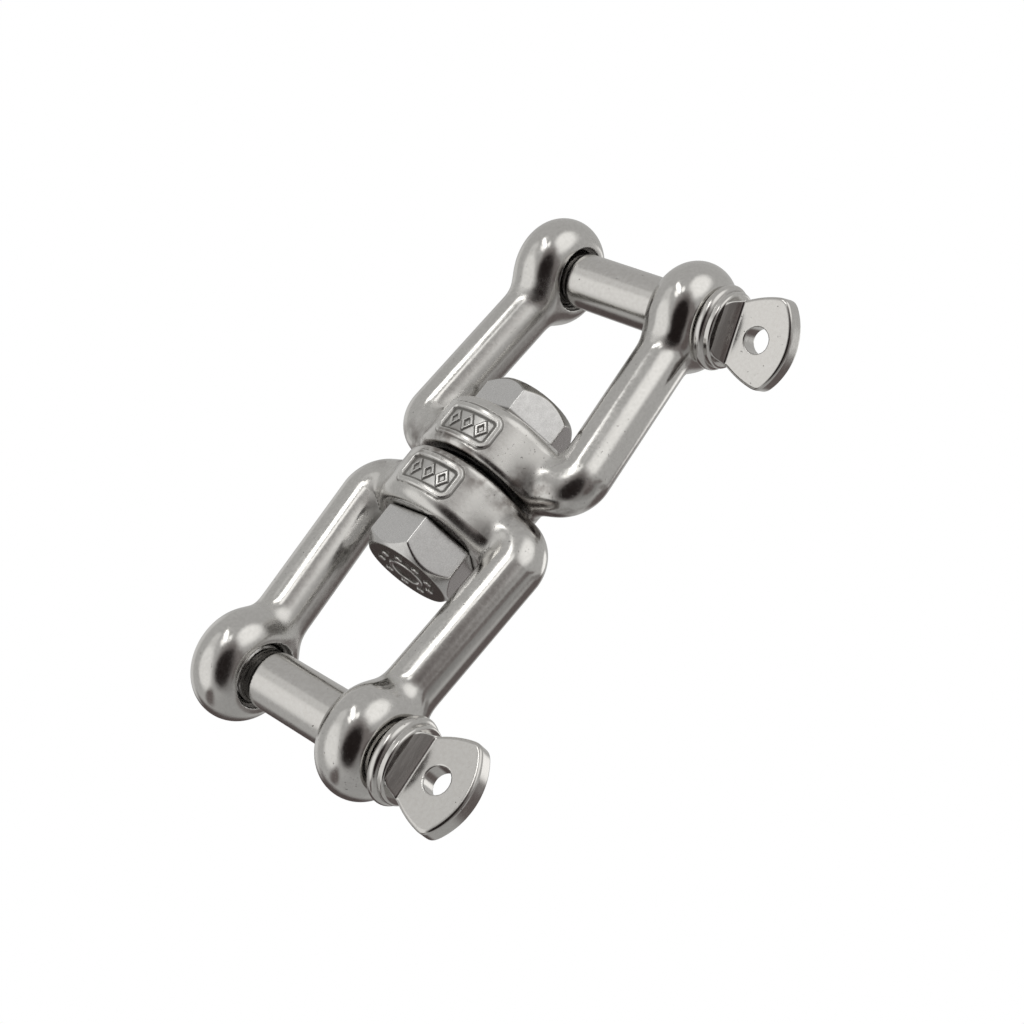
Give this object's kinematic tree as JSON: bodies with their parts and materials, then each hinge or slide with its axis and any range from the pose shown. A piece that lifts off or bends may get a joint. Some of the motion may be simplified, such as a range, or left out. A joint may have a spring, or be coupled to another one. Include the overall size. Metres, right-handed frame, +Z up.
{
  "type": "anchor swivel",
  "caption": "Stainless jaw-and-jaw swivel: two forged clevis jaws turn freely on a bolt, each closed by a screwed pin with a flat tab.",
  "frame": {"origin": "middle of the upper clevis pin, on the swivel axis, which is where the part hangs from", "axes": "+Z up along the swivel axis from the lower jaw to the upper jaw, +X along both clevis pins towards their tabs, -Y the front"},
  "size_m": [0.0467, 0.0194, 0.0888],
  "materials": {
    "jaw_steel": "polished",
    "pin_steel": "polished, fine turned lines",
    "bolt_steel": "satin",
    "washer_steel": "satin, darkened"
  },
  "bodies": {
    "upper_jaw": {"upper_jaw": "jaw_steel"},
    "lower_jaw": {"lower_jaw": "jaw_steel"},
    "swivel_bolt": {"swivel_bolt": "bolt_steel", "swivel_nut": "bolt_steel"},
    "thrust_washer": {"thrust_washer": "washer_steel"},
    "upper_clevis_pin": {"upper_clevis_pin": "pin_steel"},
    "lower_clevis_pin": {"lower_clevis_pin": "pin_steel"}
  },
  "joints": [
    {"name": "swivel", "type": "hinge", "parent": "upper_jaw", "child": "lower_jaw", "pos_m": [0, 0, -0.0365], "axis": [0, 0, 1], "continuous": true},
    {"name": "bolt_spin", "type": "hinge", "parent": "upper_jaw", "child": "swivel_bolt", "pos_m": [0, 0, -0.0365], "axis": [0, 0, 1], "continuous": true},
    {"name": "washer_spin", "type": "hinge", "parent": "upper_jaw", "child": "thrust_washer", "pos_m": [0, 0, -0.0365], "axis": [0, 0, 1], "continuous": true},
    {"name": "upper_pin_slide", "type": "slide", "parent": "upper_jaw", "child": "upper_clevis_pin", "axis": [1, 0, 0], "range_m": [0, 0.034]},
    {"name": "lower_pin_slide", "type": "slide", "parent": "lower_jaw", "child": "lower_clevis_pin", "axis": [1, 0, 0], "range_m": [-0.0006, 0.034]}
  ]
}
